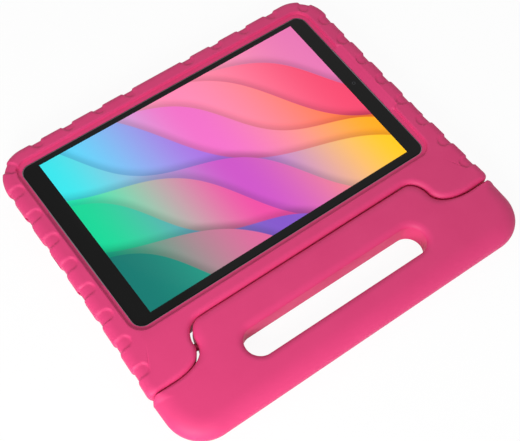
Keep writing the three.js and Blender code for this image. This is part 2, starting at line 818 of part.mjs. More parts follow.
const hingeLine = [0, hingeY, hingeZ];
for (const [side, shape] of [["right", (g) => g], ["left", mirrored]]) {
  put(`hinge_socket_${side}`, shape(socketShape()), "plastic", hingeLine);
  put(`hinge_friction_ring_${side}`, shape(frictionRingShape()), "rubber", hingeLine);
  put(`hinge_axle_${side}`, shape(axleShape()), "plastic", hingeLine);
}

put("tablet_housing", tabletHousing(), "metal");
put("tablet_glass", prism(roundedBox(glassLength, glassWidth, glassCorner, 8), -glassThickness, 0), "glass");
const panelShape = prism(roundedBox(panelLength, panelWidth, 1, 2), panelTop - panelThickness, panelTop);
put("display_panel", panelShape, "screen");

const insideFloor = -tabletThickness + tabletWall + smallGap;
const insideTop = panelTop - panelThickness - 2 * smallGap;
const batteryTop = insideTop - 0.5;
const batteryTo = boardFrom - batterySpace;
put("battery", box([batteryFrom, -batteryHalf, insideFloor], [batteryTo, batteryHalf, batteryTop]), "cell");

function mainBoard() {
  const under = insideFloor + 0.6;
  const over = under + 0.8;
  const plate = box([boardFrom, -boardHalf, under], [boardFrom + boardWidth, boardHalf, over]);
  const arm = box([boardFrom, -boardHalf, under], [armReach, armLength - boardHalf, over]);
  let board = solidOf(plate).add(solidOf(arm));
  for (const [set, y, length, width] of shieldCans) {
    const x = boardFrom + set;
    board = board.add(solidOf(box([x, y, over - 0.2], [x + length, y + width, over + 1])));
  }
  return board;
}
put("main_board", mainBoard(), "board");

put("front_camera", disc(frontCameraRadius, panelTop - 2, panelTop), "glass", [frontCameraX, 0, 0]);

const ringBack = -tabletThickness - rearCameraProud;
const cameraRing = solidOf(disc(rearCameraRing, ringBack, -tabletThickness - 0.05, 36))
  .add(solidOf(disc(rearCameraRing - 1.2, -tabletThickness - 0.1, -tabletThickness + tabletWall, 36)))
  .subtract(solidOf(disc(rearCameraLens + smallGap, ringBack - 1, -tabletThickness + 3, 36)));
put("rear_camera_ring", cameraRing, "metal", [rearCameraX, rearCameraY, 0]);
const lensShape = disc(rearCameraLens, ringBack + 0.3, -tabletThickness + 1.1);
const moduleHalf = 4.5;
const moduleShape = box(
  [-moduleHalf, -moduleHalf, insideFloor + 0.1],
  [moduleHalf, moduleHalf, insideTop - 0.2],
);
put("rear_camera_lens", lensShape, "glass", [rearCameraX, rearCameraY, 0]);
put("rear_camera_module", moduleShape, "rubber", [rearCameraX, rearCameraY, 0]);

put("power_key", key(powerKeyLength), "metal", [powerKeyX, 0, portZ]);
put("volume_key", key(volumeKeyLength), "metal", [volumeKeyX, 0, portZ]);
put("usb_socket", portShell(), "metal", [-tabletLength / 2 + portDepth / 2 + 0.3, portY, portZ]);

const jackShape = turned([
  [0, jackBore],
  [0, jackRadius],
  [jackDepth, jackRadius],
  [jackDepth, jackBore],
  [0, jackBore],
], latheSteps);
put("audio_socket", jackShape, "rubber", [-tabletLength / 2 + 0.2, jackY, portZ]);

speakerY.forEach((y, i) => {
  const name = ["speaker_upper", "speaker_lower"][i];
  const driver = box([0, -9, -1.6], [8, 9, 1.1]);
  put(name, driver, "rubber", [-tabletLength / 2 + tabletWall + smallGap, y, portZ]);
});

const halfLength = (caseTop + handleBottom) / 2;
model.position.set(0, -halfLength, -foamBack);
part.updateMatrixWorld(true);

export default part;
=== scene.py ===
import math

import bmesh
import bpy
import numpy as np
from mathutils import Matrix, Vector


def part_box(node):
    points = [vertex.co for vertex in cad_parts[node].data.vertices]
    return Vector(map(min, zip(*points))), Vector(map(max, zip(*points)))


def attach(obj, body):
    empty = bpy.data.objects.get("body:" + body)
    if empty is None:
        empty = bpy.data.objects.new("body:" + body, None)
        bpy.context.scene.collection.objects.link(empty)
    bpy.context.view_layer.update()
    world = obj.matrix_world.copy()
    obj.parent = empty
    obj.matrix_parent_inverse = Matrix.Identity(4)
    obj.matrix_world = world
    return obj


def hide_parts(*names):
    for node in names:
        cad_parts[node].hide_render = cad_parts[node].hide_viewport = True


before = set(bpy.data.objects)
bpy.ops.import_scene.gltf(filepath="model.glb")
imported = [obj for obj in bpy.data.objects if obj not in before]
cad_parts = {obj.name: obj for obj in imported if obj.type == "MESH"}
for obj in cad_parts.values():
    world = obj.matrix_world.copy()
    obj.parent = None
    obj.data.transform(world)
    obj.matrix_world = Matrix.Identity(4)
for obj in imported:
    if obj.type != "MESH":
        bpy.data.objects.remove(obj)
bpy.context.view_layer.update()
print("frame loaded:", len(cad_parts), "nodes")

mm = 0.001
glassLow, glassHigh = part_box("tablet_glass")
housingLow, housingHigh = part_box("tablet_housing")
screenCentre = ((glassLow + glassHigh) / 2)[:2]
glassTop = glassHigh.z


# Places are worked out in millimetres about the middle of the screen, with z up from the glass
def toFrame(points):
    points = np.asarray(points, float)
    return points * mm + np.array([screenCentre[0], screenCentre[1], glassTop])


def fromFrame(point):
    return [(point[0] - screenCentre[0]) / mm, (point[1] - screenCentre[1]) / mm, (point[2] - glassTop) / mm]


caseLow, caseHigh = (fromFrame(p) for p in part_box("case_body"))
handleLow, handleHigh = (fromFrame(p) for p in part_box("handle"))
foamFront, foamBack = caseHigh[2], caseLow[2]


# Small tools for outlines
def smooth(value, low, high):
    t = np.clip((np.asarray(value, float) - low) / (high - low), 0, 1)
    return t * t * (3 - 2 * t)


def lineRun(start, end, steps=8):
    t = np.linspace(0, 1, steps + 1)[:, None]
    return np.array(start, float) * (1 - t) + np.array(end, float) * t


def arcRun(centre, radius, fromAngle, toAngle, steps):
    angle = np.radians(np.linspace(fromAngle, toAngle, steps + 1))
    return np.array(centre, float) + radius * np.stack([np.cos(angle), np.sin(angle)], 1)


def bezierRun(corners, steps=60):
    corners = np.array(corners, float)
    t = np.linspace(0, 1, steps + 1)[:, None]
    while len(corners) > 1:
        corners = [corners[i] * (1 - t) + corners[i + 1] * t for i in range(len(corners) - 1)]
    return corners[0]


# Outline rows are [x, y, the four roll sizes, lean x, lean y, lean share]. Where the share is 1, the edge
# rolls over along the lean and not along its own normal, so that a tight corner can carry a wide roll.
def withRoll(run, startRoll, endRoll=None, lean=(0, 0), leanShare=(0, 0)):
    t = np.linspace(0, 1, len(run))[:, None]
    start = np.array(startRoll, float)
    end = start if endRoll is None else np.array(endRoll, float)
    share = leanShare[0] * (1 - t) + leanShare[1] * t
    return np.hstack([run, start * (1 - t) + end * t, share * np.array(lean, float), share])


def joinRuns(*runs):
    rows = np.vstack(runs)
    step = np.linalg.norm(np.diff(rows[:, :2], axis=0), axis=1)
    return rows[np.concatenate([[True], step > 1e-4])]


def resample(rows, spacing):  # spacing gives the wanted step in mm at a point
    step = np.linalg.norm(np.diff(rows[:, :2], axis=0), axis=1)
    along = np.concatenate([[0], np.cumsum(step)])
    middle = (rows[:-1, :2] + rows[1:, :2]) / 2
    share = np.concatenate([[0], np.cumsum(step / np.array([spacing(p) for p in middle]))])
    count = int(round(share[-1]))
    places = np.interp(np.linspace(0, share[-1], count + 1), share, along)
    return np.stack([np.interp(places, along, rows[:, k]) for k in range(rows.shape[1])], 1)


def mirroredLoop(half):  # half runs from x = 0 to x = 0 on the right
    left = half[1:-1][::-1].copy()
    left[:, [0, 6]] *= -1
    return np.vstack([half, left])


def sideNormals(points, smoothing=0):
    ahead = np.roll(points, -1, axis=0) - points
    ahead /= np.linalg.norm(ahead, axis=1)[:, None]
    along = ahead + np.roll(ahead, 1, axis=0)
    along /= np.linalg.norm(along, axis=1)[:, None]
    normals = np.stack([along[:, 1], -along[:, 0]], 1)
    for _ in range(smoothing):
        normals = normals + 0.5 * (np.roll(normals, 1, axis=0) + np.roll(normals, -1, axis=0))
        normals /= np.linalg.norm(normals, axis=1)[:, None]
    return normals


def rollWays(outline):
    return sideNormals(outline[:, :2], 2) * (1 - outline[:, 8:9]) + outline[:, 6:8]


def roundedRectFoot(points, length, width, corner):  # nearest place on a rounded rectangle, with its normal
    core = np.clip(points, [corner - length / 2, corner - width / 2],
                   [length / 2 - corner, width / 2 - corner])
    out = points - core
    out /= np.linalg.norm(out, axis=1)[:, None]
    return core + out * corner, out


def roundedRect(length, width, corner, steps):  # steps are for each corner
    x, y = length / 2 - corner, width / 2 - corner
    corners = ((x, -y), -90), ((x, y), 0), ((-x, y), 90), ((-x, -y), 180)
    return np.vstack([arcRun(centre, corner, start, start + 90, steps) for centre, start in corners])


def level(plan, height):
    return np.column_stack([plan, np.broadcast_to(height, len(plan))])


def newPiece(name, points, faces, edges=()):
    mesh = bpy.data.meshes.new(name)
    mesh.from_pydata(points, edges, faces)
    piece = bpy.data.objects.new(name, mesh)
    bpy.context.scene.collection.objects.link(piece)
    return piece


def skinOf(name, rings, capped=True, wrap=False):
    count = len(rings[0])
    points = toFrame(np.vstack(rings))
    faces = []
    levels = len(rings) if wrap else len(rings) - 1
    for r in range(levels):
        below, above = r * count, ((r + 1) % len(rings)) * count
        for i in range(count):
            j = (i + 1) % count
            faces.append((below + i, below + j, above + j, above + i))
    if capped:
        last = (len(rings) - 1) * count
        faces.append(tuple(range(count - 1, -1, -1)))
        faces.append(tuple(last + i for i in range(count)))
    piece = newPiece(name, points.tolist(), faces)
    piece.data.validate()
    return piece


def signedVolume(mesh):
    mesh.calc_loop_triangles()
    places = np.array([v.co for v in mesh.vertices])
    corners = places[np.array([t.vertices[:] for t in mesh.loop_triangles])]
    return np.einsum("ij,ij->i", corners[:, 0], np.cross(corners[:, 1], corners[:, 2])).sum() / 6


def facingOut(piece):
    if signedVolume(piece.data) < 0:
        piece.data.flip_normals()
    return piece


def cut(piece, tools):
    for tool in tools:
        modifier = piece.modifiers.new("cut", "BOOLEAN")
        modifier.operation = "DIFFERENCE"
        modifier.solver = "EXACT"
        modifier.object = tool
        settle(piece)
    for tool in tools:
        bpy.data.objects.remove(tool)
    return piece


def settle(piece):  # turns the modifiers' result into the plain mesh
    result = bpy.data.meshes.new_from_object(piece.evaluated_get(bpy.context.evaluated_depsgraph_get()))
    piece.modifiers.clear()
    piece.data = result
    return piece


def softShading(piece, sharpAngle=38):
    piece.data.shade_smooth()
    piece.data.set_sharp_from_angle(angle=math.radians(sharpAngle))
    return piece


def finishPiece(piece, body, slot, material, *nodes):
    if not piece.data.materials:
        piece.data.materials.append(material)
    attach(piece, body)
    if nodes:
        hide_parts(*nodes)
    return piece


def turned(name, profile, axisPlace, steps):  # profile rows are [x along the axis, radius]
    angle = np.linspace(0, 2 * math.pi, steps, endpoint=False)
    rings = []
    for x, radius in profile:
        radius = max(radius, 0.001)
        rings.append(np.stack([
            np.full(steps, x + axisPlace[0]),
            axisPlace[1] + radius * np.cos(angle),
            axisPlace[2] + radius * np.sin(angle),
        ], 1))
    return facingOut(skinOf(name, rings))


def boxTool(name, low, high):
    corners = np.array([[low[0], low[1]], [high[0], low[1]], [high[0], high[1]], [low[0], high[1]]])
    return facingOut(skinOf(name, [level(corners, low[2]), level(corners, high[2])]))


def pillTool(name, centre, length, height, depth, along):
    radius = height / 2
    half = length / 2 - radius
    shape = np.vstack([arcRun((half, 0), radius, -90, 90, 20), arcRun((-half, 0), radius, 90, 270, 20)])
    rings = []
    for reach in (-depth / 2, depth / 2):
        away = np.full(len(shape), reach)
        columns = [shape[:, 0], away, shape[:, 1]] if along == "y" else [away, shape[:, 0], shape[:, 1]]
        rings.append(np.stack(columns, 1) + np.array(centre, float))
    return facingOut(skinOf(name, rings))


def joined(name, pieces):
    points, faces = [], []
    for piece in pieces:
        start = len(points)
        points += [v.co[:] for v in piece.data.vertices]
        faces += [tuple(start + i for i in face.vertices) for face in piece.data.polygons]
        bpy.data.objects.remove(piece)
    return newPiece(name, points, faces)


# Shader nodes
def addNode(tree, kind, inputs=None, **settings):
    node = tree.nodes.new(kind)
    for name, value in settings.items():
        setattr(node, name, value)
    for name, value in (inputs or {}).items():
        socket = node.inputs[name]
        if isinstance(value, bpy.types.NodeSocket):
            tree.links.new(value, socket)
        else:
            socket.default_value = value
    return node


def addMath(tree, operation, *values):
    return addNode(tree, "ShaderNodeMath", dict(enumerate(values)), operation=operation).outputs[0]


def linear(hexColour):
    channels = [int(hexColour[i:i + 2], 16) / 255 for i in (1, 3, 5)]
    return [c / 12.92 if c <= 0.04045 else ((c + 0.055) / 1.055) ** 2.4 for c in channels] + [1.0]


def newMaterial(name):
    material = bpy.data.materials.new(name)
    material.use_nodes = True
    tree = material.node_tree
    return material, tree, tree.nodes["Principled BSDF"]


# Closed-cell EVA foam, hot moulded: dyed right through, with a soft satin skin and a fine pebbled grain
evaFoam = {
    "colour": "#DE3B77",
    "deepColour": "#D83772",
    "roughness": 0.58,
    "grainSize": 0.9,
    "grainHeight": 0.05,
    "skinPatch": 22,
    "refraction": 1.48,
    "specular": 0.42,
    "sheen": 0.03,
    "sheenRoughness": 0.5,
}


def makeEvaFoam(name, values):
    material, tree, shader = newMaterial(name)
    place = addNode(tree, "ShaderNodeTexCoord").outputs["Object"]
    patches = addNode(tree, "ShaderNodeTexNoise", {
        "Vector": place, "Scale": 1 / (values["skinPatch"] * mm), "Detail": 3, "Roughness": 0.6,
    })
    tone = addNode(tree, "ShaderNodeMix", {
        "Factor": patches.outputs["Fac"], "A": linear(values["colour"]), "B": linear(values["deepColour"]),
    }, data_type="RGBA")
    grain = addNode(tree, "ShaderNodeTexVoronoi", {
        "Vector": place, "Scale": 1 / (values["grainSize"] * mm), "Smoothness": 0.8,
    }, feature="SMOOTH_F1")
    fine = addNode(tree, "ShaderNodeTexNoise", {
        "Vector": place, "Scale": 2.4 / (values["grainSize"] * mm), "Detail": 2,
    })
    bump = addNode(tree, "ShaderNodeBump", {
        "Height": addMath(tree, "ADD", grain.outputs["Distance"], fine.outputs["Fac"]),
        "Strength": 0.35, "Distance": values["grainHeight"] * mm,
    })
    gloss = addNode(tree, "ShaderNodeMapRange", {
        "Value": patches.outputs["Fac"], "From Min": 0.3, "From Max": 0.7,
        "To Min": values["roughness"] - 0.04, "To Max": values["roughness"] + 0.05,
    })
    tree.links.new(tone.outputs["Result"], shader.inputs["Base Color"])
    tree.links.new(gloss.outputs["Result"], shader.inputs["Roughness"])
    tree.links.new(bump.outputs["Normal"], shader.inputs["Normal"])
    shader.inputs["IOR"].default_value = values["refraction"]
    shader.inputs["Specular IOR Level"].default_value = values["specular"]
    shader.inputs["Sheen Weight"].default_value = values["sheen"]
    shader.inputs["Sheen Roughness"].default_value = values["sheenRoughness"]
    return material


foamMaterial = makeEvaFoam("mouldedEvaFoam", evaFoam)


# Plain moulded, blasted or drawn finishes share one recipe: a base colour with faint clouds and a fine grain
cloudSize = 12
cloudDepth = 0.06


def makePlainFinish(name, colour, roughness, metallic=0.0, grainSize=0.4, grainHeight=0.02):
    material, tree, shader = newMaterial(name)
    place = addNode(tree, "ShaderNodeTexCoord").outputs["Object"]
    grain = addNode(tree, "ShaderNodeTexNoise", {"Vector": place, "Scale": 1 / (grainSize * mm), "Detail": 2})
    cloud = addNode(tree, "ShaderNodeTexNoise", {"Vector": place, "Scale": 1 / (cloudSize * mm), "Detail": 2})
    base = linear(colour)
    dark = [c * (1 - cloudDepth) for c in base[:3]] + [1.0]
    tone = addNode(tree, "ShaderNodeMix", {
        "Factor": cloud.outputs["Fac"], "A": base, "B": dark,
    }, data_type="RGBA")
    bump = addNode(tree, "ShaderNodeBump", {
        "Height": grain.outputs["Fac"], "Strength": 0.3, "Distance": grainHeight * mm,
    })
    gloss = addNode(tree, "ShaderNodeMapRange", {
        "Value": cloud.outputs["Fac"], "To Min": roughness * 0.92, "To Max": roughness * 1.08,
    })
    tree.links.new(tone.outputs["Result"], shader.inputs["Base Color"])
    tree.links.new(gloss.outputs["Result"], shader.inputs["Roughness"])
    tree.links.new(bump.outputs["Normal"], shader.inputs["Normal"])
    shader.inputs["Metallic"].default_value = metallic
    return material


housingMaterial = makePlainFinish("blastedAnodisedAluminium", "#4A4C50", 0.38, 1.0, 0.25, 0.012)
# The shell rim's lighter, pink-tinged grey is a painted highlight on the same anodised metal
rimPaintedHighlightMaterial = makePlainFinish("anodisedRimPaintedHighlight", "#6C656A", 0.3, 1.0, 0.3, 0.004)
hingeMaterial = makePlainFinish("mouldedAbsHinge", "#A81E50", 0.34)
rubberMaterial = makePlainFinish("mouldedNitrileRubber", "#202022", 0.7)
blackPlasticMaterial = makePlainFinish("mouldedBlackAbs", "#1A1A1C", 0.45)
boardMaterial = makePlainFinish("maskedGlassEpoxyBoard", "#1F5A3A", 0.4, 0.0, 1.2, 0.03)
cellMaterial = makePlainFinish("wrappedLithiumCell", "#3A3D42", 0.42)
steelMaterial = makePlainFinish("drawnStainlessSteel", "#9A9A9C", 0.3, 1.0)


# Aluminosilicate cover glass, printed black on the back round a lit picture, polished on the front
coverGlass = {
    "border": "#121212",
    "pictureLength": 217.4,
    "pictureWidth": 135.9,
    "roughness": 0.06,
    "reflection": 0.08,
    "glow": 0.34,
    "cameraRing": "#3C3D40",
    "cameraHole": "#060608",
    "cameraSize": 2.6,
    "holeShare": 0.6,
}

# Picture: paper-like waves, one over the other, from the upper right to the lower left. Each wave has
# its offset along the lean, height, length, phase and its colours at the left, middle and right.
paperWaves = {
    "sky": ("#F9A0B8", "#FF9EB2", "#E777B4"),
    "lean": 38,
    "edge": 0.5,
    "shade": 8,
    "shadeTone": 0.72,
    "waves": [
        (-76, 9, 150, 0.4, "#FFA0B0", "#FF8FAE", "#F2476E"),
        (-54, 12, 190, 1.9, "#7FE0E0", "#FA86B0", "#FF7A2C"),
        (-34, 8, 140, 3.1, "#5AD8EC", "#E86CC0", "#FFA818"),
        (-14, 13, 210, 4.4, "#44D2EE", "#A468D6", "#FFC41C"),
        (8, 10, 160, 0.9, "#34D6DC", "#C24FBC", "#FF9A34"),
        (30, 12, 180, 2.6, "#16D8A4", "#E0489A", "#F0609C"),
        (50, 9, 140, 5.2, "#0CC48A", "#7A50BC", "#B85CCE"),
        (68, 12, 200, 1.3, "#0A9476", "#D45A92", "#9A55CC"),
        (88, 10, 150, 3.7, "#0F6C64", "#2AA68C", "#2BA08A"),
    ],
}


def threeColours(tree, across, colours):
    ramp = addNode(tree, "ShaderNodeValToRGB", {"Fac": across})
    stops = ramp.color_ramp
    stops.interpolation = "EASE"
    stops.elements.new(0.5)
    for stop, colour in zip(stops.elements, colours):
        stop.color = linear(colour)
    return ramp.outputs["Color"]


def makeWavePicture(tree, place, values, length):
    split = addNode(tree, "ShaderNodeSeparateXYZ", {"Vector": place})
    lean = math.radians(values["lean"])
    turn = addNode(tree, "ShaderNodeVectorRotate", {"Vector": place, "Angle": lean}, rotation_type="Z_AXIS")
    turnedPlace = addNode(tree, "ShaderNodeSeparateXYZ", {"Vector": turn.outputs[0]})
    across = addNode(tree, "ShaderNodeMapRange", {
        "Value": split.outputs["X"], "From Min": -length / 2, "From Max": length / 2,
    }).outputs["Result"]
    picture = threeColours(tree, across, values["sky"])
    for offset, height, wavelength, phase, *colours in values["waves"]:
        angle = addMath(tree, "MULTIPLY_ADD", turnedPlace.outputs["X"], 2 * math.pi / wavelength, phase)
        crest = addMath(tree, "MULTIPLY_ADD", addMath(tree, "SINE", angle), height, -offset)
        below = addMath(tree, "SUBTRACT", crest, turnedPlace.outputs["Y"])
        shade = addNode(tree, "ShaderNodeMapRange", {
            "Value": below, "From Min": -values["shade"], "From Max": 0,
            "To Min": 1, "To Max": values["shadeTone"],
        }, interpolation_type="SMOOTHSTEP")
        shaded = addNode(tree, "ShaderNodeVectorMath", {
            0: picture, 1: shade.outputs["Result"],
        }, operation="MULTIPLY")
        mask = addNode(tree, "ShaderNodeMapRange", {
            "Value": below, "From Min": -values["edge"] / 2, "From Max": values["edge"] / 2,
        })
        picture = addNode(tree, "ShaderNodeMix", {
            "Factor": mask.outputs["Result"], "A": shaded.outputs[0],
            "B": threeColours(tree, across, colours),
        }, data_type="RGBA").outputs["Result"]
    return picture


def cameraPlace():  # the front camera's clear hole in the black border
    low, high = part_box("front_camera")
    place = (low + high) / 2
    return ((place.x - screenCentre[0]) / mm, (place.y - screenCentre[1]) / mm, glassTop / mm)


def makeCoverGlass(name, values, bordered=True):
    material, tree, shader = newMaterial(name)
    place = addNode(tree, "ShaderNodeTexCoord").outputs["Object"]
    centred = addNode(tree, "ShaderNodeMapping", {
        "Vector": place, "Scale": (1 / mm,) * 3,
        "Location": (-screenCentre[0] / mm, -screenCentre[1] / mm, 0),
    }).outputs["Vector"]
    picture = makeWavePicture(tree, centred, paperWaves, values["pictureLength"])
    if bordered:
        split = addNode(tree, "ShaderNodeSeparateXYZ", {"Vector": centred})
        sides = []
        for axis, size in (("X", values["pictureLength"]), ("Y", values["pictureWidth"])):
            sides.append(addMath(tree, "LESS_THAN", addMath(tree, "ABSOLUTE", split.outputs[axis]), size / 2))
        inside = addMath(tree, "MULTIPLY", *sides)
        picture = addNode(tree, "ShaderNodeMix", {
            "Factor": inside, "A": linear(values["border"]), "B": picture,
        }, data_type="RGBA").outputs["Result"]
        away = addNode(tree, "ShaderNodeVectorMath", {0: centred, 1: cameraPlace()}, operation="DISTANCE")
        for size, colour in ((1, values["cameraRing"]), (values["holeShare"], values["cameraHole"])):
            hole = addMath(tree, "LESS_THAN", away.outputs["Value"], size * values["cameraSize"] / 2)
            picture = addNode(tree, "ShaderNodeMix", {
                "Factor": hole, "A": picture, "B": linear(colour),
            }, data_type="RGBA").outputs["Result"]
        tree.links.new(addMath(tree, "MULTIPLY", inside, values["glow"]), shader.inputs["Emission Strength"])
        tree.links.new(picture, shader.inputs["Emission Color"])
    tree.links.new(picture, shader.inputs["Base Color"])
    shader.inputs["Roughness"].default_value = values["roughness"]
    shader.inputs["Specular IOR Level"].default_value = values["reflection"]
    return material


glassMaterial = makeCoverGlass("printedCoverGlass", coverGlass)
panelMaterial = makeCoverGlass("litPicturePanel", coverGlass, bordered=False)
lensMaterial = makePlainFinish("coatedLensGlass", "#08080C", 0.05, 0.0, 3, 0.0)
print("materials made")


# The S-shaped parting line between the case and the handle
partingLine = {
    "tongueY": -89,
    "lobeY": -117.7,
    "tongueHalf": 85.8,
    "lobeStart": 124.2,
    "hingeX": 97.9,
    "hingeY": -102.9,
    "gap": 1,
    "hingeGap": 2,
    "gapSpread": 9,
    "bendSpread": 8,
    "foldAngle": 105,
    "foldClearance": 1,
    "foldMargin": 8,
    "foldEnds": (-2, -8),
    "axleBore": 3.2,
    "socketSet": 2.6,
    "socketPlay": 0.3,
    "socketBore": 5.5,
    "socketLength": 17,
}
hingeZ = (foamFront + foamBack) / 2
halfThick = (foamFront - foamBack) / 2


def partingRun(values):
    hx, hy, ty, ly = values["hingeX"], values["hingeY"], values["tongueY"], values["lobeY"]
    th, ls = values["tongueHalf"], values["lobeStart"]
    up, down = hy - ty, ly - hy
    return joinRuns(
        lineRun((0, ty), (th, ty), 60),
        bezierRun([(th, ty), (th + 0.6 * (hx - th), ty), (hx, hy - 0.47 * up), (hx, hy)]),
        bezierRun([(hx, hy), (hx + 0.5, hy + 0.58 * down), (hx + 0.38 * (ls - hx), ly), (ls, ly)]),
    )


def beside(run, side, values):  # moves the parting line to the handle's side (1) or the case's (-1)
    ahead = np.gradient(run, axis=0)
    ahead /= np.linalg.norm(ahead, axis=1)[:, None]
    spread = values["gapSpread"]
    away = np.exp(-((run[:, 1] - values["hingeY"]) / spread) ** 2
                  - ((run[:, 0] - values["hingeX"]) / spread) ** 2)
    half = (values["gap"] + (values["hingeGap"] - values["gap"]) * away) / 2
    moved = run + side * half[:, None] * np.stack([ahead[:, 1], -ahead[:, 0]], 1)
    moved[0, 0] = 0
    return moved


def bendRolls(run, straight, bend, outside, values):
    bent = np.exp(-((run[:, 0] - values["hingeX"]) / values["bendSpread"]) ** 2)[:, None]
    beyond = smooth(run[:, 0], values["hingeX"] - 2, values["hingeX"] + 2)[:, None]
    base = np.array(straight, float) * (1 - beyond) + np.array(outside, float) * beyond
    return np.hstack([run, base + (np.array(bend, float) - base) * bent, np.zeros((len(run), 3))])


# Case shell, in mm. A roll is [front inset, front depth, back inset, back height]. The two scoop values
# are for the left and the right side, and dips are (place, depth) of two low spots in the right side.
caseShell = {
    "sideAtTop": 137.6,
    "sideWaist": 138.1,
    "sideWaistY": -40,
    "topCorner": 24.5,
    "lobeCorner": 4.4,
    "softness": 0.4,
    "lipLength": 243.6,
    "lipWidth": 147.4,
    "lipCorner": 7.8,
    "lipShift": (-0.9, -1.2),
    "lipUnder": 0.3,
    "lipTop": 0.9,
    "ledge": 3.0,
    "ridge": 3.8,
    "ridgeRound": 0.7,
    "scoopBack": (1.3, 0.3),
    "scoopLedge": 0.4,
    "scoopReach": (3.8, 6.4),
    "scoopHalf": 32,
    "scoopSpread": 2.5,
    "pocketGap": 0.3,
    "outerRoll": [7, 4, 9, 15],
    "topRoll": [5, 3.6, 9, 15],
    "topTilt": 0.004,
    "tiltSpan": (20, 80),
    "dipsFrom": 100,
    "dips": [(-45, 0.8), (46, 0.6)],
    "dipLength": 7,
    "wallRoll": [4, 4, 2.5, 2.5],
    "lobeRoll": [4, 4, 8, 8],
    "lobeLean": (1, -0.85),
    "leanRows": 20,
    "backInset": 30,
    "backCorner": 6,
    "step": 0.85,
    "straightStep": 2.5,
}
gripRecess = {
    "depth": 1.1,
    "width": 8.4,
    "softEdge": 1.5,
    "reach": 10.4,
    "topReach": 7.4,
    "beyond": 9,
    "sideFirst": 56.5,
    "sidePitch": 22.25,
    "sideCount": 8,
    "topPitch": 25.3,
    "topEachSide": 4,
}


def caseOutline(values, parting):
    lobeX, topY = caseHigh[0], caseHigh[1] - values["softness"]
    corner, top = values["lobeCorner"], values["topCorner"]
    centreX = lobeX - corner
    edge = beside(partingRun(parting), -1, parting)
    lobeEdgeY = edge[-1, 1]
    lean = values["lobeLean"]
    side = bezierRun([
        (lobeX, lobeEdgeY + corner), (values["sideWaist"], values["sideWaistY"]),
        (values["sideAtTop"], topY - top),
    ], 160)
    near = values["leanRows"]
    half = joinRuns(
        bendRolls(edge, values["wallRoll"], values["wallRoll"], values["lobeRoll"], parting),
        withRoll(lineRun(edge[-1], (centreX, lobeEdgeY), 16), values["lobeRoll"], None, lean, (0, 1)),
        withRoll(arcRun((centreX, lobeEdgeY + corner), corner, -90, 0, 24),
                 values["lobeRoll"], values["outerRoll"], lean, (1, 1)),
        withRoll(side[:near], values["outerRoll"], None, lean, (1, 0)),
        withRoll(side[near:], values["outerRoll"]),
        withRoll(arcRun((values["sideAtTop"] - top, topY - top), top, 0, 90, 90),
                 values["outerRoll"], values["topRoll"]),
        withRoll(lineRun((values["sideAtTop"] - top, topY), (0, topY), 60), values["topRoll"]),
    )

    def spacing(point):
        onTongue = abs(point[0]) < parting["tongueHalf"] - 6 and point[1] < parting["tongueY"] + 2
        return values["straightStep"] if onTongue else values["step"]
    outline = mirroredLoop(resample(half, spacing))
    outline[:, 1] += values["topTilt"] * outline[:, 0] * smooth(outline[:, 1], *values["tiltSpan"])
    onRight = outline[:, 0] > values["dipsFrom"]
    for y, depth in values["dips"]:
        outline[:, 0] -= depth * np.exp(-((outline[:, 1] - y) / values["dipLength"]) ** 2) * onRight
    return outline, side


def quarterSteps(count):
    return [k / count * math.pi / 2 for k in range(count + 1)]


def rollRing(outline, normals, inset, height):
    return level(outline[:, :2] - normals * inset[:, None], height)


def frontRoll(outline, normals, front, angles):
    roll = outline[:, 2:]
    return [rollRing(outline, normals, roll[:, 0] * (1 - math.sin(a)), front - roll[:, 1] * (1 - math.cos(a)))
            for a in angles]


def backRoll(outline, normals, back, angles):
    roll = outline[:, 2:]
    return [rollRing(outline, normals, roll[:, 2] * (1 - math.sin(a)), back + roll[:, 3] * (1 - math.cos(a)))
            for a in angles]


def landRings(inner, outer, height, fineStep=0.8, fineCount=12, coarseCount=3):
    span = np.linalg.norm(outer - inner, axis=1)
    fine = np.minimum(fineStep * fineCount, 0.75 * span)
    away = [fine * k / fineCount for k in range(1, fineCount + 1)]
    away += [fine + (span - fine) * k / coarseCount for k in range(1, coarseCount)]
    out = (outer - inner) / span[:, None]
    return [level(outer - out * a[:, None], height) for a in away][::-1]


